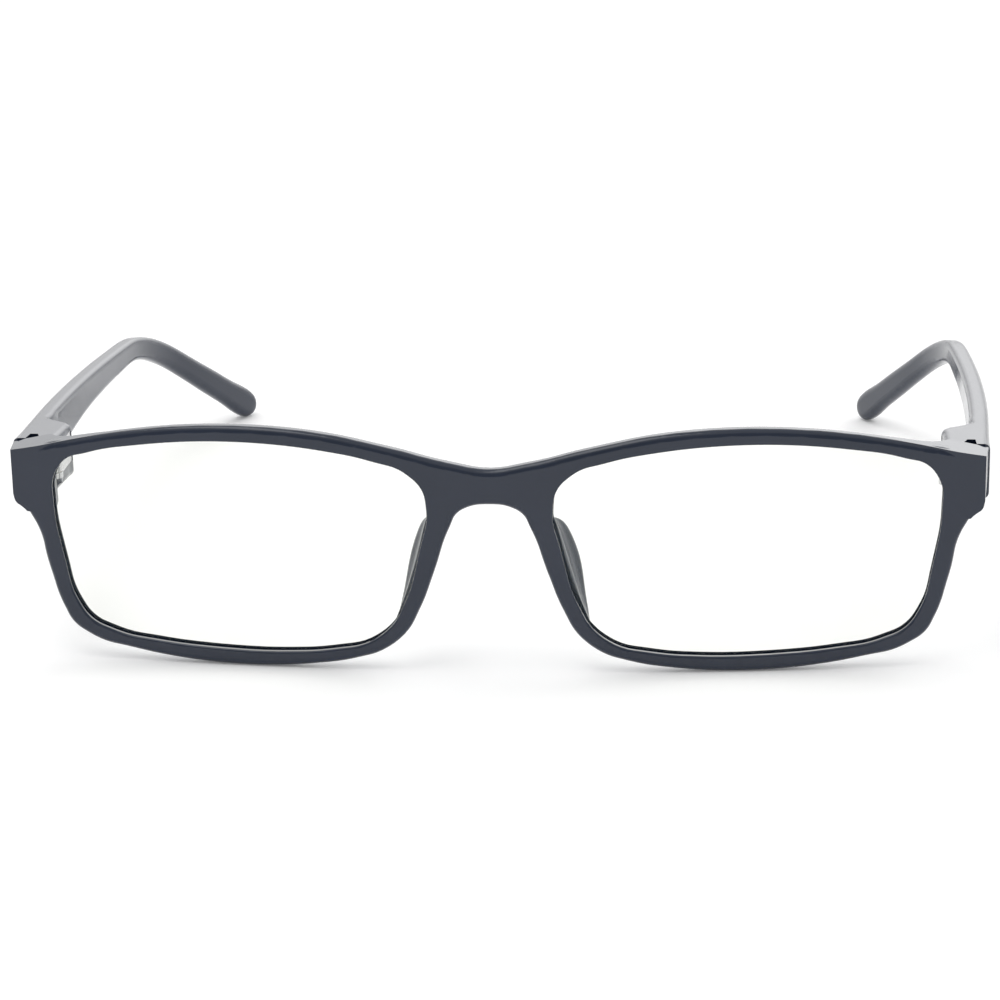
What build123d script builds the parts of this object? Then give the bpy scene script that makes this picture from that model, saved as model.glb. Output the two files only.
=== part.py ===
from build123d import *
import math
import os

# Blue light glasses: rectangular full-rim reading frame with spring hinges.
# +X to the right as seen from the front, +Y towards the temple tips, +Z up, origin at
# the centre of the bounding box's bottom face. Millimetres. "Right" pieces lie at +X.
# Lengths along Y count from FRONT_Y and heights from DATUM_Z, unless noted.

# ---- front and rim ----
FRONT_Y = -66.71        # foremost point of the front (bridge centre), from the origin
DATUM_Z = 26.15         # height of the bridge datum above the table
FACE_R = 410.5          # plan radius of the curved front face
RIM_DEPTH = 2.75        # front face to rear face of the rim
FRONT_ROUND = 0.9       # rounding of the rim's outer front edge
OPENING_ROUND = 0.3     # rounding of the lens openings' front edge
REAR_ROUND = 1.1        # rounding of the rim's outer rear edge
OPENING_REAR_ROUND = 0.7
BLANK_HALF = 72.0       # half width of the curved slab the rim is cut from
CUT_DEPTH = 14          # front-view cuts, deep enough to pass right through the front
JOINT_Y = 11.05         # rear face of the end pieces

# ---- lenses ----
LENS_GROOVE = 0.55      # how far the lens runs into the rim
LENS_FRONT = 0.5        # lens surface behind the front face
LENS_THICK = 1.4
LENS_AXIS_Z = -8.0      # height of the lens sphere's centre
LENS_REACH = 72.0       # radius of the spherical cap the lenses are cut from
SEAT_GROW = 0.02        # clearance of the rim groove round the lens

# ---- hinge ----
FIT = 0.02              # clearance between hinge parts
TEMPLE_Y = 11.20        # front end of the temples
PIVOT_X = 65.0          # hinge axis, level with the temples' front end
PIVOT_Y = TEMPLE_Y
PIVOT = (PIVOT_X, PIVOT_Y)
HINGE_Z = 1.25          # mid height of the hinge barrel
KNUCKLE_R = 1.3
BARREL_HALF = 1.8       # half height of the whole barrel
BARREL_Z0 = HINGE_Z - BARREL_HALF
BARREL_Z1 = HINGE_Z + BARREL_HALF
LEAF_HALF = 0.75        # half height of the front leaf's knuckle
SCREW_R = 0.60
SCREW_HEAD_R = 1.05
SCREW_HEAD_H = 0.42
WASHER_T = 0.15
RECESS_R = 1.5          # space cleared round the knuckles
RECESS_Z0 = BARREL_Z0 - 0.15
RECESS_H = 2 * BARREL_HALF + 0.75

BLOCK_X = 64.6          # inner face of the temple's hinge block
BLOCK_Y1 = 21.9         # rear end of the block's flat inner face
CUT_X = 64.0            # temple cuts start here, inward of the block
CUT_Y = 10.9            # and here, in front of the temple
POCKET_X = 67.9         # outer wall of the temple's hinge pocket
POCKET_HALF = 2.3       # half height of the pocket
HOUSING_Y0, HOUSING_Y1 = 12.9, 21.4

SPRING_X = 66.5         # axis of the spring and its stem
WALL_Y0, WALL_Y1 = 15.3, 16.1      # the wall the spring pushes on
SPRING_Y1 = 19.6
STOP_Y1 = 20.3
CHAMBER_Y1 = 20.75      # rear end of the spring chamber
CHAMBER_R = 1.02
STOP_R = 0.92
STEM_Y0 = 15.0
STEM_R = 0.45
WALL_HOLE_R = 0.52
WIRE_R = 0.14
COIL_R = 0.72
SPRING_TURNS = 5

PIN_CENTRE = (68.35, 12.9)         # locking pin
PIN_R = 0.44
PIN_HOLE_Z = 1.2

# ---- temples ----
ARM_T = 2.9             # thickness of the temple arm
ARM_CORNER_R = 0.9
EAR_CORNER_R = 1.32
BEND_Y = 91.5           # where the ear bend starts
BEND_REACH = 11.5       # bend start to the corner of its two tangents
BEND_STEPS = 8
TIP = (57.45, 131.0, -23.74)       # centre of the rounded tip
ARM_Y = 11.13           # origin of the arm's curves, which are in hundredths of a length
OUTER_X, OUTER_SLOPE, OUTER_BOW = 70.487, 9.358, 8.789
TOP_Z, TOP_SLOPE = 5.355, 8.385

# right half of the rim's outline (x, z), from the top of the bridge round to its underside
RIM_OUTLINE = [
    (0, 4.26), (6, 5.23), (14, 7.22), (24, 9.22), (34, 9.99), (44, 9.70),
    (55, 8.24), (61.0, 7.0), (65.0, 6.12),
    # corner, mostly hidden in the end piece
    (67.6, 4.7), (68.75, 2.2), (69.0, -0.8), (68.7, -2.8), (67.8, -4.3),
    # side, underside and nose
    (66.75, -6.2), (65.2, -12.5), (63.45, -18.3), (62.05, -20.9), (59.2, -22.85),
    (52.0, -24.65), (44.0, -25.77), (35.5, -26.15), (27.0, -25.72),
    (20.0, -24.6), (15.9, -23.25), (12.6, -20.7), (10.0, -16.1),
    (8.2, -11.3), (5.9, -4.7), (4.6, -2.25), (2.5, -1.15), (0, -0.9)]
# right lens opening (x, z)
OPENING = [
    (10.16, -8.01), (12.24, -15.31), (14.63, -19.56), (17.73, -21.89),
    (23.28, -23.19), (31.05, -23.80), (39.77, -23.69), (48.38, -23.04),
    (55.37, -21.87), (59.24, -20.05), (61.32, -16.92), (62.77, -11.05),
    (63.93, -3.09), (63.65, 1.45), (62.03, 3.85), (57.97, 5.37),
    (49.61, 6.90), (41.46, 7.65), (33.16, 7.66), (24.97, 6.94),
    (17.21, 5.50), (11.95, 3.68), (9.72, 1.45), (9.0, -2.16)]

# ---- shared planes and outlines ----
FRONT = Plane(origin=(0, FRONT_Y, DATUM_Z), x_dir=(1, 0, 0), z_dir=(0, -1, 0))
FRONT_CUT = FRONT.offset(1.0)      # just in front of the face
PLAN = Plane(origin=(0, FRONT_Y, DATUM_Z))


def plan_at(z):
    return PLAN.offset(z)


def axial(y):
    """Plane across the spring's axis, facing the temple tip."""
    return Plane(origin=(SPRING_X, FRONT_Y + y, DATUM_Z + HINGE_Z),
                 x_dir=(1, 0, 0), z_dir=(0, 1, 0))


def face_y(x, depth=0.0):
    """Y of the curved front face, or of the surface parallel to it at a depth."""
    return FACE_R - math.sqrt((FACE_R - depth) ** 2 - x * x)


def face_point(x, behind=0.0):
    return (x, face_y(x) + behind)


def rectangle_outline(x0, y0, x1, y1):
    """A rectangle from corner to corner, drawn in the active BuildLine."""
    Polyline((x0, y0), (x1, y0), (x1, y1), (x0, y1), close=True)


def arc_middle(start, tangent, end):
    """Middle of the arc leaving start along the tangent, or None if it is straight."""
    chord = end - start
    side = chord.X * tangent.Y - chord.Y * tangent.X
    angle = math.atan2(abs(side), chord.dot(tangent))
    sag = chord.length / 2 * math.tan(angle / 2)
    if sag < 1e-5:
        return None
    ratio = math.copysign(sag / chord.length, side)
    return (start + end) * 0.5 + Vector(-chord.Y, chord.X) * ratio


def draw_arc(start, middle, end):
    if middle is None:
        Line(start, end)
    else:
        ThreePointArc(start, middle, end)


def smooth_loop(points):
    """A closed chain of tangent arcs through the points, drawn in the active BuildLine.

    Each span is two arcs that meet tangentially at its joint.
    """
    points = [Vector(*point) for point in points]
    count = len(points)
    tangents = []
    for i in range(count):
        before = points[i] - points[i - 1]
        after = points[(i + 1) % count] - points[i]
        ratio = after.length / before.length
        tangents.append((before * ratio + after * (1 / ratio)).normalized())

    for i in range(count):
        start, end = points[i], points[(i + 1) % count]
        leaving, arriving = tangents[i], tangents[(i + 1) % count]
        chord = end - start
        forward = chord.dot(leaving + arriving)
        spread = 2 * (1 - leaving.dot(arriving))
        square = chord.dot(chord)
        if spread < 1e-9:
            reach = square / (2 * forward)
        else:
            reach = (math.sqrt(forward * forward + spread * square) - forward) / spread
        joint = (start + leaving * reach + end - arriving * reach) * 0.5
        draw_arc(start, arc_middle(start, leaving, joint), joint)
        draw_arc(joint, arc_middle(end, arriving * -1, joint), end)


# ---- lenses ----
def lens_block(side, grow):
    """A spherical shell cut to the lens outline; grow widens it for the rim groove."""
    centre_y = FACE_R + LENS_FRONT
    outer, inner = FACE_R + grow, FACE_R - LENS_THICK - grow

    def surface(radius, x):
        return (x, centre_y - math.sqrt(radius ** 2 - x ** 2))

    with BuildPart() as lens:
        with BuildSketch(plan_at(LENS_AXIS_Z)):
            with BuildLine():
                Line(surface(inner, 0), surface(outer, 0))
                ThreePointArc(*[surface(outer, x) for x in (0, LENS_REACH / 2, LENS_REACH)])
                Line(surface(outer, LENS_REACH), surface(inner, LENS_REACH))
                ThreePointArc(*[surface(inner, x) for x in (LENS_REACH, LENS_REACH / 2, 0)])
            make_face()
        revolve(axis=Axis((0, FRONT_Y, DATUM_Z + LENS_AXIS_Z), (0, 1, 0)))
        with BuildSketch(FRONT.offset(2)):
            with BuildLine():
                smooth_loop([(side * x, z) for x, z in OPENING])
            make_face()
            offset(amount=LENS_GROOVE + grow)
        extrude(amount=-16, mode=Mode.INTERSECT)
    return lens


right_lens = lens_block(1, 0.0)
left_lens = lens_block(-1, 0.0)
right_seat = lens_block(1, SEAT_GROW)
left_seat = lens_block(-1, SEAT_GROW)

# ---- temples ----
# y, height of the section
HEIGHTS = [(TEMPLE_Y, 8.2), (25, 8.0), (33, 7.55), (41, 6.9), (50, 6.1), (60, 5.35),
           (75, 4.55), (BEND_Y, 3.9)]
# y of the sections in front of the bend
STATIONS = (TEMPLE_Y, 12.6, 14.5, 16.5, 18.5, 20.3, BLOCK_Y1, 23.0, 24.2, 25.4, 26.6,
            29.0, 33, 37, 41, 46, 52, 60, 68, 76, 84, BEND_Y)
BEND_GROWTH = 0.2       # gain in height round the bend
# fraction of the straight ear piece, height
EAR = [(0.25, 4.25), (0.5, 4.5), (0.75, 4.7), (1.0, 4.85)]
# distance past the tip's centre, thickness, height
TIP_END = [(0.95, 2.85, 4.42), (1.6, 2.7, 3.6), (2.05, 2.45, 2.6), (2.3, 2.1, 1.7)]


def outer_x(y):
    """Outer face of the right temple, with a slight flare over its first 16 mm."""
    t = (y - ARM_Y) / 100
    flare = 0.38 * max(0.0, 1 - (y - ARM_Y) / 16) ** 2
    return OUTER_X + OUTER_SLOPE * t - OUTER_BOW * t * t + flare


def top_z(y):
    return TOP_Z - TOP_SLOPE * (y - ARM_Y) / 100


# y, thickness where the hinge block narrows to the slim arm
THICKNESSES = [(BLOCK_Y1, outer_x(BLOCK_Y1) - BLOCK_X), (23.0, 6.1), (24.2, 4.75),
               (25.4, 3.55), (26.6, ARM_T)]


def interpolate(table, y):
    for (y0, value0), (y1, value1) in zip(table, table[1:]):
        if y <= y1:
            return value0 + (value1 - value0) * (y - y0) / (y1 - y0)
    return table[-1][1]


def thickness_at(y):
    """Across the temple: flat inner face at the hinge block, then down to the slim arm."""
    if y <= BLOCK_Y1:
        return outer_x(y) - BLOCK_X
    return interpolate(THICKNESSES, y)


def sections():
    """(centre, normal, thickness, height, corner radius) along the right temple."""
    rows = []
    for y in STATIONS:
        thickness, height = thickness_at(y), interpolate(HEIGHTS, y)
        centre = Vector(outer_x(y) - thickness / 2, y, top_z(y) - height / 2)
        rows.append((centre, Vector(0, 1, 0), thickness, height, ARM_CORNER_R))

    # ear bend: a circular arc between the arm's heading and the line to the tip
    start = rows[-1][0]
    bend_height = rows[-1][3]
    t = (BEND_Y - ARM_Y) / 100
    arm_dir = Vector((OUTER_SLOPE - 2 * OUTER_BOW * t) / 100, 1, -TOP_SLOPE / 100).normalized()
    to_tip = Vector(*TIP) - start - arm_dir * BEND_REACH
    run = to_tip.length - BEND_REACH
    ear_dir = to_tip.normalized()
    turn = math.acos(arm_dir.dot(ear_dir))
    radius = BEND_REACH / math.tan(turn / 2)
    side = (ear_dir - arm_dir * arm_dir.dot(ear_dir)).normalized()
    for i in range(1, BEND_STEPS + 1):
        part = i / BEND_STEPS
        angle = turn * part
        centre = (start + arm_dir * (radius * math.sin(angle))
                  + side * (radius * (1 - math.cos(angle))))
        heading = arm_dir * math.cos(angle) + side * math.sin(angle)
        normal = (Vector(0, 1, 0) * (1 - part) + heading * part).normalized()
        rows.append((centre, normal, ARM_T, bend_height + BEND_GROWTH * part,
                     ARM_CORNER_R + (EAR_CORNER_R - ARM_CORNER_R) * part))

    start = rows[-1][0]
    for part, height in EAR:
        rows.append((start + ear_dir * (run * part), ear_dir, ARM_T, height, EAR_CORNER_R))
    for past, thickness, height in TIP_END:
        rows.append((start + ear_dir * (run + past), ear_dir, thickness, height,
                     min(thickness, height) / 2 - 0.1))
    return rows


with BuildPart() as temple_body:
    for centre, normal, thickness, height, corner_r in sections():
        across = Vector(normal.Y, -normal.X, 0).normalized()
        origin = (centre.X, centre.Y + FRONT_Y, centre.Z + DATUM_Z)
        with BuildSketch(Plane(origin=origin, x_dir=across, z_dir=normal)):
            RectangleRounded(thickness, height, corner_r)
    loft()

# plan outlines (x, y) cut off the temple's front end over its full height
JOINT_BEVEL = [(69.75, 11.0), (72.9, 11.0), (72.9, 12.6), (71.3, 12.0), (70.75, 11.45)]
SWING_RELIEF = [(CUT_X, 11.0), (65.32, 11.0), (64.4, 12.08), (CUT_X, 12.3)]
PIN_SLOT = [(67.2, CUT_Y), (68.95, CUT_Y), (68.95, 14.3), (67.8, 14.3), (67.2, 12.3)]

with BuildPart() as right_temple:
    add(temple_body.part)
    # bevel that opens the joint at the outer corner, then relief of the inner corner,
    # which swings past the end piece
    for corner_cut in (JOINT_BEVEL, SWING_RELIEF):
        with BuildSketch(plan_at(-6)):
            with BuildLine():
                Polyline(*corner_cut, close=True)
            make_face()
        extrude(amount=14, mode=Mode.SUBTRACT)
    # recess for the hinge's knuckles and carriage
    with BuildSketch(plan_at(RECESS_Z0)):
        with Locations(PIVOT):
            Circle(RECESS_R)
        with BuildLine():
            rectangle_outline(CUT_X, CUT_Y, POCKET_X, HOUSING_Y0 + 0.2)
        make_face()
    extrude(amount=RECESS_H, mode=Mode.SUBTRACT)
    # pocket for the spring housing, open on the inner face
    with BuildSketch(plan_at(HINGE_Z - POCKET_HALF)):
        with BuildLine():
            rectangle_outline(CUT_X, HOUSING_Y0, POCKET_X, HOUSING_Y1)
        make_face()
    extrude(amount=2 * POCKET_HALF, mode=Mode.SUBTRACT)
    # slot from the top that shows the locking pin
    with BuildSketch(plan_at(2.9)):
        with BuildLine():
            Polyline(*PIN_SLOT, close=True)
        make_face()
    extrude(amount=4, mode=Mode.SUBTRACT)
    with BuildSketch(plan_at(PIN_HOLE_Z)):
        with Locations(PIN_CENTRE):
            Circle(PIN_R + 0.01)
    extrude(amount=2.0, mode=Mode.SUBTRACT)

# ---- spring hinge, right side ----
# plan outlines (x, y) of the arms that run from the knuckles
LEAF_ARM = [(64.2, PIVOT_Y), (64.45, 9.2), (64.45, 7.9), (68.4, 8.3), (68.4, 9.5),
            (66.2, 9.3), (66.05, PIVOT_Y)]
CARRIAGE_ARM = [(64.2, 12.2), (65.45, 12.65), (65.45, 15.2), (67.55, 15.2), (67.55, 12.5),
                (66.15, 11.3), (65.0, 11.2)]

with BuildPart() as hinge_leaf:
    with BuildSketch(plan_at(HINGE_Z - LEAF_HALF)):
        with Locations(PIVOT):
            Circle(KNUCKLE_R)
        with BuildLine():
            Polyline(*LEAF_ARM, close=True)
        make_face()
        with Locations(PIVOT):
            Circle(SCREW_R + 2 * FIT, mode=Mode.SUBTRACT)
    extrude(amount=2 * LEAF_HALF)

with BuildPart() as hinge_screw:
    # shank, head, and the short neck that joins them
    for bottom, radius, height in ((BARREL_Z0, SCREW_R, 2 * BARREL_HALF),
                                   (BARREL_Z1 + 0.01, SCREW_HEAD_R, SCREW_HEAD_H),
                                   (BARREL_Z1, SCREW_R, 0.1)):
        with BuildSketch(plan_at(bottom)):
            with Locations(PIVOT):
                Circle(radius)
        extrude(amount=height)
    chamfer(hinge_screw.edges().group_by(Axis.Z)[-1], 0.14)
    # driver slot
    with BuildSketch(plan_at(BARREL_Z1 + 0.2)):
        with Locations(PIVOT):
            Rectangle(2.4, 0.28)
    extrude(amount=0.4, mode=Mode.SUBTRACT)
    chamfer(hinge_screw.edges().group_by(Axis.Z)[0], 0.12)


def washer(z):
    with BuildPart() as ring:
        with BuildSketch(plan_at(z)):
            with Locations(PIVOT):
                Circle(KNUCKLE_R - 0.05)
                Circle(SCREW_R + FIT, mode=Mode.SUBTRACT)
        extrude(amount=WASHER_T)
    return ring


upper_washer = washer(HINGE_Z + LEAF_HALF + FIT)
lower_washer = washer(HINGE_Z - LEAF_HALF - FIT - WASHER_T)

with BuildPart() as hinge_carriage:
    with BuildSketch(plan_at(BARREL_Z0)):
        with Locations(PIVOT):
            Circle(KNUCKLE_R)
        with BuildLine():
            Polyline(*CARRIAGE_ARM, close=True)
        make_face()
    extrude(amount=2 * BARREL_HALF)
    # gap for the leaf's knuckle and both washers
    gap_half = LEAF_HALF + WASHER_T + 2 * FIT
    with BuildSketch(plan_at(HINGE_Z - gap_half)):
        with Locations(PIVOT):
            Circle(RECESS_R)
    extrude(amount=2 * gap_half, mode=Mode.SUBTRACT)
    with BuildSketch(plan_at(BARREL_Z0)):
        with Locations(PIVOT):
            Circle(SCREW_R + FIT)
    extrude(amount=2 * BARREL_HALF, mode=Mode.SUBTRACT)
    # stem through the spring
    with BuildSketch(axial(STEM_Y0)):
        Circle(STEM_R)
    extrude(amount=STOP_Y1 + 0.25 - STEM_Y0)

with BuildPart() as spring_stop:
    with BuildSketch(axial(SPRING_Y1)):
        Circle(STOP_R)
        Circle(STEM_R + 0.01, mode=Mode.SUBTRACT)
    extrude(amount=STOP_Y1 - SPRING_Y1)

with BuildPart() as spring_housing:
    with BuildSketch(plan_at(HINGE_Z - POCKET_HALF + FIT)):
        with BuildLine():
            rectangle_outline(BLOCK_X + FIT, HOUSING_Y0 + FIT, POCKET_X - FIT, HOUSING_Y1 - FIT)
        make_face()
    extrude(amount=2 * (POCKET_HALF - FIT))
    # front opening for the carriage
    with BuildSketch(axial(HOUSING_Y0)):
        Rectangle(2.24, 3.72)
    extrude(amount=WALL_Y0 - HOUSING_Y0, mode=Mode.SUBTRACT)
    # stem hole through the wall, then the spring chamber
    with BuildSketch(axial(WALL_Y0)):
        Circle(WALL_HOLE_R)
    extrude(amount=1.5, mode=Mode.SUBTRACT)
    with BuildSketch(axial(WALL_Y1)):
        Circle(CHAMBER_R)
    extrude(amount=CHAMBER_Y1 - WALL_Y1, mode=Mode.SUBTRACT)

with BuildPart() as hinge_spring:
    coil_run = SPRING_Y1 - WALL_Y1 - 2 * (WIRE_R + FIT)
    with BuildLine():
        coil = Helix(pitch=coil_run / SPRING_TURNS, height=coil_run, radius=COIL_R,
                     center=(SPRING_X, FRONT_Y + WALL_Y1 + WIRE_R + FIT, DATUM_Z + HINGE_Z),
                     direction=(0, 1, 0))
    with BuildSketch(Plane(origin=coil @ 0, z_dir=coil % 0)):
        Circle(WIRE_R)
    sweep(path=coil.edges()[0], is_frenet=True)

with BuildPart() as locking_pin:
    with BuildSketch(plan_at(PIN_HOLE_Z + FIT)):
        with Locations(PIN_CENTRE):
            Circle(PIN_R)
    extrude(amount=2.3)
    fillet(locking_pin.edges().group_by(Axis.Z)[-1], 0.18)

# ---- end pieces: the thickened corners that carry the hinges ----
with BuildPart() as end_pieces:
    with BuildSketch(plan_at(-4.1)):
        with BuildLine():
            Line(face_point(52.0, 1.0), face_point(66.0))
            ThreePointArc(face_point(66.0), face_point(68.0), face_point(70.0))
            Line(face_point(70.0), (70.62, 10.8))
            Line((70.62, 10.8), (70.1, JOINT_Y))
            Line((70.1, JOINT_Y), (65.6, JOINT_Y))
            ThreePointArc((65.6, JOINT_Y), (64.9, 10.75), (64.55, 10.1))
            ThreePointArc((64.55, 10.1), (63.5, 8.75), face_point(61.0, RIM_DEPTH - 0.3))
            Line(face_point(61.0, RIM_DEPTH - 0.3), face_point(52.0, 1.55))
            Line(face_point(52.0, 1.55), face_point(52.0, 1.0))
        make_face()
    extrude(amount=12.15)
    # the corner's own outline: crisp at the top, drawn in below
    with BuildSketch(FRONT_CUT):
        with BuildLine():
            ThreePointArc((50.0, 9.02), (57.5, 7.74), (65.0, 6.12))
            ThreePointArc((65.0, 6.12), (67.6, 5.57), (70.2, 5.08))
            Line((70.2, 5.08), (71.5, 4.6))
            Line((71.5, 4.6), (71.5, 0.9))
            Line((71.5, 0.9), (70.4, 0.4))
            Line((70.4, 0.4), (69.85, -2.3))
            ThreePointArc((69.85, -2.3), (69.6, -2.8), (69.15, -3.15))
            ThreePointArc((69.15, -3.15), (67.9, -4.2), (67.0, -5.6))
            Line((67.0, -5.6), (50.0, -5.6))
            Line((50.0, -5.6), (50.0, 9.02))
        make_face()
    extrude(amount=-CUT_DEPTH, mode=Mode.INTERSECT)
    with BuildSketch(FRONT_CUT):
        with BuildLine():
            smooth_loop(OPENING)
        make_face()
        offset(amount=0.35)
    extrude(amount=-CUT_DEPTH, mode=Mode.SUBTRACT)
    # the underside rises towards the joint
    with BuildSketch(Plane(origin=(58.0, FRONT_Y, DATUM_Z), x_dir=(0, 1, 0), z_dir=(1, 0, 0))):
        with BuildLine():
            Polyline((8.2, -4.5), (11.6, -4.5), (11.6, -2.6), close=True)
        make_face()
    extrude(amount=14, mode=Mode.SUBTRACT)
    mirror(about=Plane.YZ)

# ---- nose pads moulded on the rims ----
# height, nose edge x, rear edge x, rear edge y, lens side x
PADS = [(-2.9, 5.7, 8.6, 3.0, 8.9),
        (-4.2, 6.0, 9.6, 5.2, 9.25),
        (-6.3, 6.75, 10.6, 7.7, 9.65),
        (-9.0, 7.65, 11.5, 8.75, 10.25),
        (-12.0, 8.75, 12.25, 8.95, 11.1),
        (-15.0, 9.85, 12.85, 7.6, 12.15),
        (-17.5, 10.95, 13.45, 5.95, 13.2),
        (-19.4, 11.95, 13.9, 4.3, 14.1),
        (-20.6, 12.8, 14.2, 3.0, 14.6)]
PAD_T = 1.55            # nominal thickness near the rear edge
PAD_Y0 = 0.9            # front of the pads, inside the rim

with BuildPart() as nose_pads:
    for z, nose_x, rear_x, rear_y, lens_x in PADS:
        width = rear_x - PAD_T - nose_x
        depth = rear_y - PAD_Y0
        with BuildSketch(plan_at(z)):
            with BuildLine():
                smooth_loop([(nose_x + 0.5, PAD_Y0),
                             (nose_x + 0.12 + 0.33 * width, PAD_Y0 + 0.40 * depth),
                             (nose_x + 0.70 * width, PAD_Y0 + 0.76 * depth),
                             (rear_x - 1.15 * PAD_T + 0.25, rear_y - 0.35),
                             (rear_x - 0.55 * PAD_T, rear_y),
                             (rear_x - 0.06, rear_y - 0.45),
                             (0.45 * rear_x + 0.55 * lens_x, 0.45 * rear_y + 0.55 * 2.2),
                             (lens_x, 1.6)])
            make_face()
    loft()
    mirror(about=Plane.YZ)


# ---- front ----
def opening_distance(x, z):
    """Distance of a point of the front view from the nearer lens opening's edge."""
    point, distances = Vector(abs(x), z), []
    for start, end in zip(OPENING[-1:] + OPENING, OPENING):
        offset_in = point - Vector(*start)
        edge = Vector(*end) - Vector(*start)
        t = max(0, min(1, offset_in.dot(edge) / edge.dot(edge)))
        distances.append((offset_in - edge * t).length)
    return min(distances)


def rim_edges(body, depth, at_opening):
    """Edges of the front or rear face, either round the lens openings or round the outside."""
    picked = []
    for edge in body.edges():
        points = [edge.position_at(u) for u in (0.02, 0.35, 0.65, 0.98)]
        on_face = all(abs(p.Y - FRONT_Y - face_y(p.X, depth)) < 0.01 for p in points)
        middle = edge.position_at(0.5)
        if on_face and (opening_distance(middle.X, middle.Z - DATUM_Z) <= 0.6) == at_opening:
            picked.append(edge)
    return picked


with BuildPart() as rim_body:
    with BuildSketch(plan_at(-30)):
        with BuildLine():
            blank_front = face_y(BLANK_HALF)
            blank_rear = face_y(BLANK_HALF, RIM_DEPTH)
            ThreePointArc((-BLANK_HALF, blank_front), (0, 0), (BLANK_HALF, blank_front))
            Line((BLANK_HALF, blank_front), (BLANK_HALF, blank_rear))
            ThreePointArc((BLANK_HALF, blank_rear), (0, RIM_DEPTH), (-BLANK_HALF, blank_rear))
            Line((-BLANK_HALF, blank_rear), (-BLANK_HALF, blank_front))
        make_face()
    extrude(amount=45)
    with BuildSketch(FRONT_CUT):
        with BuildLine():
            smooth_loop(RIM_OUTLINE + [(-x, z) for x, z in RIM_OUTLINE[-2:0:-1]])
        make_face()
    extrude(amount=-CUT_DEPTH, mode=Mode.INTERSECT)
    with BuildSketch(FRONT_CUT):
        for side in (1, -1):
            with BuildLine():
                smooth_loop([(side * x, z) for x, z in OPENING])
            make_face()
    extrude(amount=-CUT_DEPTH, mode=Mode.SUBTRACT)
    for depth, at_opening, radius in ((0, False, FRONT_ROUND),
                                      (0, True, OPENING_ROUND),
                                      (RIM_DEPTH, False, REAR_ROUND),
                                      (RIM_DEPTH, True, OPENING_REAR_ROUND)):
        fillet(rim_edges(rim_body, depth, at_opening), radius)

with BuildPart() as front_frame:
    add([rim_body.part, end_pieces.part, nose_pads.part])
    add(right_seat.part, mode=Mode.SUBTRACT)
    add(left_seat.part, mode=Mode.SUBTRACT)
    # recesses for the hinge knuckles, and the seats the leaves are set in
    with BuildSketch(plan_at(RECESS_Z0)):
        with Locations(PIVOT, (-PIVOT_X, PIVOT_Y)):
            Circle(RECESS_R)
    extrude(amount=RECESS_H, mode=Mode.SUBTRACT)
    add(hinge_leaf.part, mode=Mode.SUBTRACT)
    add(hinge_leaf.part.mirror(Plane.YZ), mode=Mode.SUBTRACT)


# ---- export ----
def export_piece(piece, name):
    piece.part.label = name
    export_step(piece.part, f"parts/{name}.step")


os.makedirs("parts", exist_ok=True)
export_piece(front_frame, "front_frame")
export_piece(right_lens, "right_lens")
export_piece(left_lens, "left_lens")

# built on the right, mirrored to the left
PAIRED_PIECES = {
    "temple": right_temple,
    "hinge_leaf": hinge_leaf, "hinge_screw": hinge_screw,
    "upper_washer": upper_washer, "lower_washer": lower_washer,
    "hinge_carriage": hinge_carriage, "spring_stop": spring_stop,
    "spring_housing": spring_housing, "hinge_spring": hinge_spring,
    "locking_pin": locking_pin,
}
for name, piece in PAIRED_PIECES.items():
    export_piece(piece, f"right_{name}")
    with BuildPart() as mirrored:
        add(piece.part.mirror(Plane.YZ))
    export_piece(mirrored, f"left_{name}")
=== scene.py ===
import math

import bpy
from mathutils import Matrix, Vector


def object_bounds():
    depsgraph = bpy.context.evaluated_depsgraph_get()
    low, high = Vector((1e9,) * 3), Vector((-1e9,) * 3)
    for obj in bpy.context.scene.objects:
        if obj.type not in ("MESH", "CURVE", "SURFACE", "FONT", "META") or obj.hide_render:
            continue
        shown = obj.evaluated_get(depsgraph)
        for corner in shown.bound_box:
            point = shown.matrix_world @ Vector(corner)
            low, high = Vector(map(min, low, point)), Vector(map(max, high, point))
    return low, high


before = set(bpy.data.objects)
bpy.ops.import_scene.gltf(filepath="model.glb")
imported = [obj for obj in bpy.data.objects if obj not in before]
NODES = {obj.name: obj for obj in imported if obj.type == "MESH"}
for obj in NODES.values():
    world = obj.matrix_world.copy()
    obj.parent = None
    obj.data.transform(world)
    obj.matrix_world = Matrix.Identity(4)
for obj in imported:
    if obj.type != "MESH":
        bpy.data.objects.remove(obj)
CAD_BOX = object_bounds()
scene = bpy.context.scene


# ---------------------------------------------------------------- node helpers
def node(tree, kind, inputs, **settings):
    """Add a node. An input takes a plain value, a socket, or a node's first output."""
    made = tree.nodes.new(kind)
    for setting, value in settings.items():
        setattr(made, setting, value)
    for key, value in inputs.items():
        if isinstance(value, bpy.types.Node):
            value = value.outputs[0]
        if isinstance(value, bpy.types.NodeSocket):
            tree.links.new(value, made.inputs[key])
        else:
            made.inputs[key].default_value = value
    return made


def new_material(name):
    """Return an empty material, its node tree and its object coordinates."""
    material = bpy.data.materials.new(name)
    material.use_nodes = True
    tree = material.node_tree
    tree.nodes.clear()
    coords = node(tree, "ShaderNodeTexCoord", {}).outputs["Object"]
    return material, tree, coords


def set_surface(tree, shader):
    node(tree, "ShaderNodeOutputMaterial", {"Surface": shader})


def noise(tree, coords, **inputs):
    return node(tree, "ShaderNodeTexNoise", {"Vector": coords, **inputs})


def ramp(tree, factor, *stops):
    """Blend between two stops, each (position, RGB colour)."""
    made = node(tree, "ShaderNodeValToRGB", {"Fac": factor})
    for element, (position, color) in zip(made.color_ramp.elements, stops):
        element.position = position
        element.color = (*color, 1)
    return made


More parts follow.
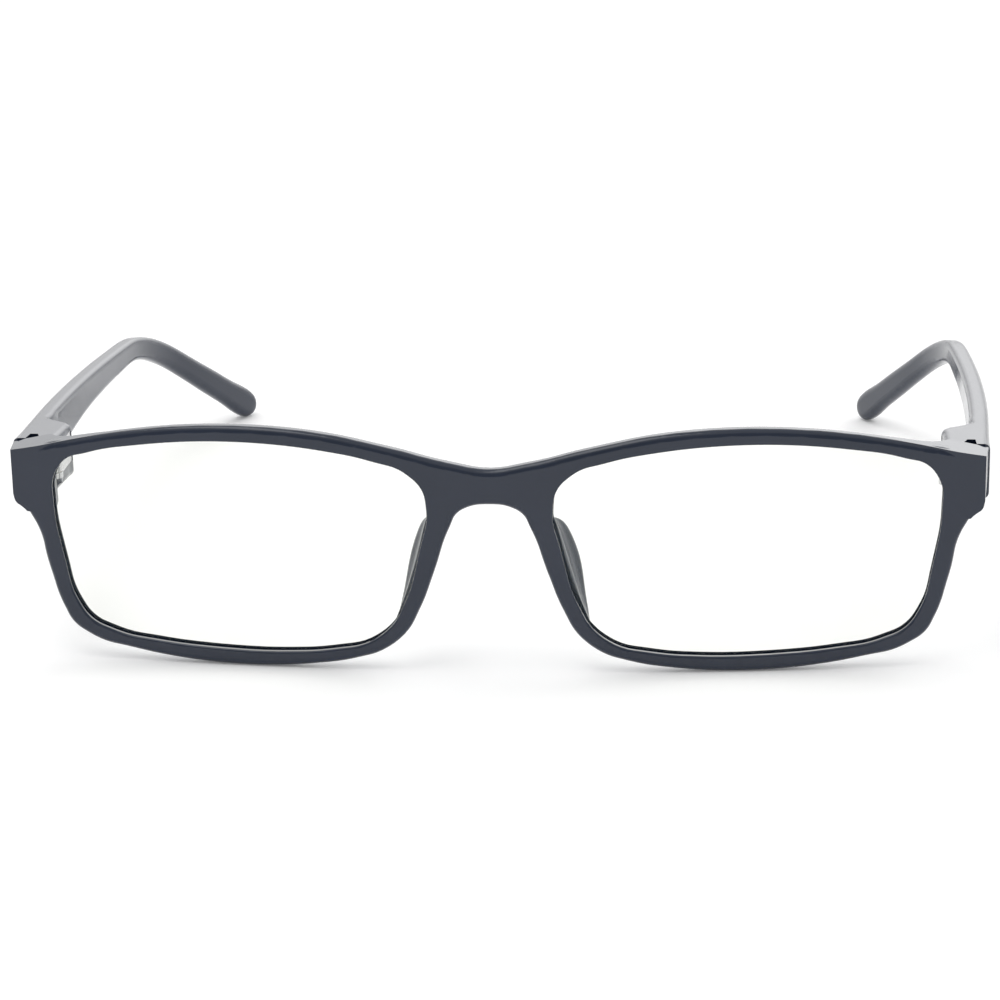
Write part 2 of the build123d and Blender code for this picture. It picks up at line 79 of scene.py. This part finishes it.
def map_range(tree, value, from_range=(0.0, 1.0), to_range=(0.0, 1.0), **settings):
    return node(tree, "ShaderNodeMapRange", {
        "Value": value,
        "From Min": from_range[0], "From Max": from_range[1],
        "To Min": to_range[0], "To Max": to_range[1],
    }, **settings)


def calculate(tree, operation, first, second):
    return node(tree, "ShaderNodeMath", {0: first, 1: second}, operation=operation)


def bump(tree, height, strength, distance):
    return node(tree, "ShaderNodeBump",
                {"Height": height, "Strength": strength, "Distance": distance})


# ---------------------------------------------------------------- materials
def gloss_plastic(name, dark, light, roughness):
    """Polished moulded plastic: faint depth variation, orange peel, hairline scuffs."""
    material, tree, coords = new_material(name)
    cloud = noise(tree, coords, Scale=55.0, Detail=4.0, Roughness=0.55)
    tint = ramp(tree, cloud, (0.35, dark), (0.68, light))

    # handling haze varies the roughness around its base value
    haze = noise(tree, coords, Scale=140.0, Detail=6.0, Roughness=0.6)
    haze_roughness = map_range(tree, haze, from_range=(0.3, 0.7),
                               to_range=(roughness - 0.025, roughness + 0.035))

    # hairline scuffs: noise drawn out along one slanted direction
    stretched = node(tree, "ShaderNodeMapping", {
        "Vector": coords, "Rotation": (0.3, 0.5, 0.9), "Scale": (1.0, 14.0, 14.0)})
    hairs = noise(tree, stretched, Scale=260.0, Detail=3.0)
    scuffs = ramp(tree, hairs, (0.60, (0, 0, 0)), (0.72, (1, 1, 1)))
    scuff_depth = 0.06  # roughness added where a scuff is strongest
    scuff_roughness = calculate(tree, "MULTIPLY", scuffs, scuff_depth)

    orange_peel = noise(tree, coords, Scale=420.0, Detail=2.0)
    shader = node(tree, "ShaderNodeBsdfPrincipled", {
        "IOR": 1.52,
        "Base Color": tint,
        "Roughness": calculate(tree, "ADD", haze_roughness, scuff_roughness),
        "Normal": bump(tree, orange_peel, strength=0.10, distance=0.00004),
    })
    set_surface(tree, shader)
    return material


def metal(name, color, roughness, grain_scale=(1.0, 1.0, 1.0)):
    """Metal with a fine grain in its colour, roughness and relief."""
    material, tree, coords = new_material(name)
    stretched = node(tree, "ShaderNodeMapping", {"Vector": coords, "Scale": grain_scale})
    grain = noise(tree, stretched, Scale=900.0, Detail=4.0)
    dark = [channel * 0.82 for channel in color]
    light = [min(1.0, channel * 1.06) for channel in color]
    shader = node(tree, "ShaderNodeBsdfPrincipled", {
        "Metallic": 1.0,
        "Base Color": ramp(tree, grain, (0.3, dark), (0.7, light)),
        "Roughness": map_range(tree, grain, to_range=(roughness * 0.7, roughness * 1.4)),
        "Normal": bump(tree, grain, strength=0.25, distance=0.00002),
    })
    set_surface(tree, shader)
    return material


def nylon(name):
    """Off-white, slightly translucent nylon."""
    material, tree, coords = new_material(name)
    grain = noise(tree, coords, Scale=1500.0, Detail=3.0)
    shader = node(tree, "ShaderNodeBsdfPrincipled", {
        "Roughness": 0.55,
        "Subsurface Weight": 0.15,
        "Subsurface Scale": 0.0003,
        "Base Color": ramp(tree, grain, (0.3, (0.62, 0.61, 0.57)), (0.7, (0.75, 0.74, 0.70))),
        "Normal": bump(tree, grain, strength=0.2, distance=0.00002),
    })
    set_surface(tree, shader)
    return material


def clear_lens(name):
    """Coated lens: straight-through light, Fresnel mirror and a faint warm tint."""
    material, tree, coords = new_material(name)
    dust = noise(tree, coords, Scale=60.0, Detail=5.0)
    tint = ramp(tree, dust, (0.35, (0.985, 0.988, 0.972)), (0.7, (0.995, 0.996, 0.985)))
    see_through = node(tree, "ShaderNodeBsdfTransparent", {"Color": tint})
    mirror = node(tree, "ShaderNodeBsdfGlossy", {
        "Color": ramp(tree, dust, (0.3, (0.90, 0.94, 1.0)), (0.7, (0.86, 0.97, 0.90))),
        "Roughness": map_range(tree, dust, to_range=(0.012, 0.045)),
    })
    # only faces towards the viewer mirror, so light leaving the lens is not trapped in it
    fresnel = node(tree, "ShaderNodeFresnel", {"IOR": 1.34})
    backfacing = node(tree, "ShaderNodeNewGeometry", {}).outputs["Backfacing"]
    frontfacing = calculate(tree, "SUBTRACT", 1.0, backfacing)
    mirror_share = calculate(tree, "MULTIPLY", fresnel, frontfacing)
    set_surface(tree, node(tree, "ShaderNodeMixShader",
                           {0: mirror_share, 1: see_through, 2: mirror}))
    return material


def floor_white(name):
    """Matt, near-white tabletop with a faint glow of its own."""
    material, tree, coords = new_material(name)
    mottle = noise(tree, coords, Scale=3.0)
    shader = node(tree, "ShaderNodeBsdfPrincipled", {
        "Roughness": 0.9,
        "Specular IOR Level": 0.15,
        "Base Color": ramp(tree, mottle, (0.0, [0.925] * 3), (1.0, [0.95] * 3)),
        "Emission Color": (1.0, 1.0, 1.0, 1.0),
        "Emission Strength": 0.10,
    })
    set_surface(tree, shader)
    return material


NAVY = {"dark": (0.0085, 0.0155, 0.0335), "light": (0.0125, 0.0200, 0.0405)}

front_plastic = gloss_plastic("frame_navy_plastic", **NAVY, roughness=0.11)
temple_plastic = gloss_plastic("temple_navy_plastic", **NAVY, roughness=0.12)
satin_steel = metal("hinge_steel_satin", color=(0.60, 0.60, 0.61), roughness=0.26,
                    grain_scale=(1.0, 0.15, 1.0))
bright_steel = metal("screw_steel_bright", color=(0.74, 0.74, 0.75), roughness=0.14)
spring_wire = metal("spring_wire", color=(0.52, 0.52, 0.53), roughness=0.22)
washer_nylon = nylon("washer_nylon")
lens_filter = clear_lens("lens_clear_filter")

# finishes of the parts found on both sides
SIDE_FINISH = {
    "temple": temple_plastic,
    "lens": lens_filter,
    "hinge_leaf": satin_steel,
    "hinge_carriage": satin_steel,
    "spring_housing": satin_steel,
    "spring_stop": satin_steel,
    "hinge_screw": bright_steel,
    "locking_pin": bright_steel,
    "hinge_spring": spring_wire,
    "upper_washer": washer_nylon,
    "lower_washer": washer_nylon,
}
FINISH = {"front_frame": front_plastic}
for side in ("right", "left"):
    for part, finish in SIDE_FINISH.items():
        FINISH[f"{side}_{part}"] = finish

for name, piece in NODES.items():
    piece.data.materials.clear()
    piece.data.materials.append(FINISH[name])

# ---------------------------------------------------------------- floor
FLOOR_Z = -0.00005
# grid lines used in both x and y, closest together near the glasses
FLOOR_LINES = [
    -9.0, -5.0, -3.0, -2.0, -1.2, -0.8, -0.5, -0.3, -0.15, 0.0,
    0.15, 0.3, 0.5, 0.8, 1.2, 2.0, 3.0, 5.0, 9.0,
]


def floor_sheet():
    """A wide flat grid of quads."""
    count = len(FLOOR_LINES)
    vertices = [(x, y, FLOOR_Z) for y in FLOOR_LINES for x in FLOOR_LINES]
    corners = [j * count + i for j in range(count - 1) for i in range(count - 1)]
    faces = [(k, k + 1, k + count + 1, k + count) for k in corners]
    mesh = bpy.data.meshes.new("studio_floor")
    mesh.from_pydata(vertices, [], faces)
    sheet = bpy.data.objects.new("studio_floor", mesh)
    scene.collection.objects.link(sheet)
    return sheet


floor = floor_sheet()
floor.data.materials.append(floor_white("floor_white"))


# ---------------------------------------------------------------- light
def studio_world():
    """White surroundings whose strength varies with the direction looked in."""
    ambient = 0.9          # strength away from the wall and the dim side
    dimming = 0.5          # strength taken off on the camera's side
    wall_left, wall_right = 0.55, 1.87  # strength the wall adds at each side

    world = bpy.data.worlds.new("studio")
    scene.world = world
    world.use_nodes = True
    tree = world.node_tree
    tree.nodes.clear()

    def fade(direction, start, end, low=0.0, high=1.0):
        return map_range(tree, direction, (start, end), (low, high),
                         interpolation_type="SMOOTHSTEP")

    def multiply(first, second):
        return calculate(tree, "MULTIPLY", first, second)

    coords = node(tree, "ShaderNodeTexCoord", {}).outputs["Generated"]
    x, y, z = node(tree, "ShaderNodeSeparateXYZ", {0: coords}).outputs

    # a bright low wall behind the glasses, dimmer towards the left (-X)
    wall = multiply(fade(z, -0.05, 0.28), fade(z, 0.50, 0.80, low=1.0, high=0.0))
    wall = multiply(wall, fade(y, 0.25, 0.75))
    wall = multiply(wall, fade(x, -0.45, 0.15, low=wall_left, high=wall_right))

    # the dim side the camera stands on
    dim = multiply(fade(y, -0.75, -0.15, low=1.0, high=0.0),
                   fade(z, 0.55, 0.9, low=1.0, high=0.0))
    dim = multiply(dim, dimming)

    lit = calculate(tree, "ADD", wall, ambient)
    background = node(tree, "ShaderNodeBackground", {
        "Color": (1.0, 1.0, 1.0, 1),
        "Strength": calculate(tree, "SUBTRACT", lit, dim),
    })
    node(tree, "ShaderNodeOutputWorld", {"Surface": background})


def area_light(name, location, target, size, power):
    """A rectangular light turned towards the target."""
    data = bpy.data.lights.new(name, "AREA")
    data.shape = "RECTANGLE"
    data.size, data.size_y = size
    data.energy = power
    light = bpy.data.objects.new(name, data)
    scene.collection.objects.link(light)
    light.location = location
    direction = Vector(target) - Vector(location)
    light.rotation_euler = direction.to_track_quat("-Z", "Y").to_euler()


studio_world()
area_light("key_top", location=(-0.25, -0.10, 0.95), target=(0, 0, 0),
           size=(0.7, 0.35), power=1.4)

# ---------------------------------------------------------------- camera
# radians: heading turned from +Y towards -X, tilt below level, roll about the line of sight
HEADING, TILT, ROLL = 0.09015506, 0.31033944, -0.01976485
AIM = Vector((0.00159591, CAD_BOX[0][1], 0.02615))  # in the plane of the foremost point
DISTANCE = 0.43657417      # from the aim point
FOCAL_LENGTH = 111.11685768  # mm
SENSOR_WIDTH = 36.0        # mm


def view_camera():
    forward = Vector((-math.sin(HEADING) * math.cos(TILT),
                      math.cos(HEADING) * math.cos(TILT),
                      -math.sin(TILT)))
    level_right = Vector((math.cos(HEADING), math.sin(HEADING), 0))
    level_up = level_right.cross(forward)
    right = math.cos(ROLL) * level_right + math.sin(ROLL) * level_up
    up = -math.sin(ROLL) * level_right + math.cos(ROLL) * level_up
    eye = AIM - DISTANCE * forward

    data = bpy.data.cameras.new("view")
    data.sensor_width = SENSOR_WIDTH
    data.lens = FOCAL_LENGTH
    data.clip_start = 0.01
    data.clip_end = 50.0
    camera = bpy.data.objects.new("view", data)
    scene.collection.objects.link(camera)
    camera.matrix_world = Matrix((
        (right.x, up.x, -forward.x, eye.x),
        (right.y, up.y, -forward.y, eye.y),
        (right.z, up.z, -forward.z, eye.z),
        (0, 0, 0, 1)))
    scene.camera = camera


view_camera()
scene.view_settings.view_transform = "Standard"
scene.view_settings.look = "None"
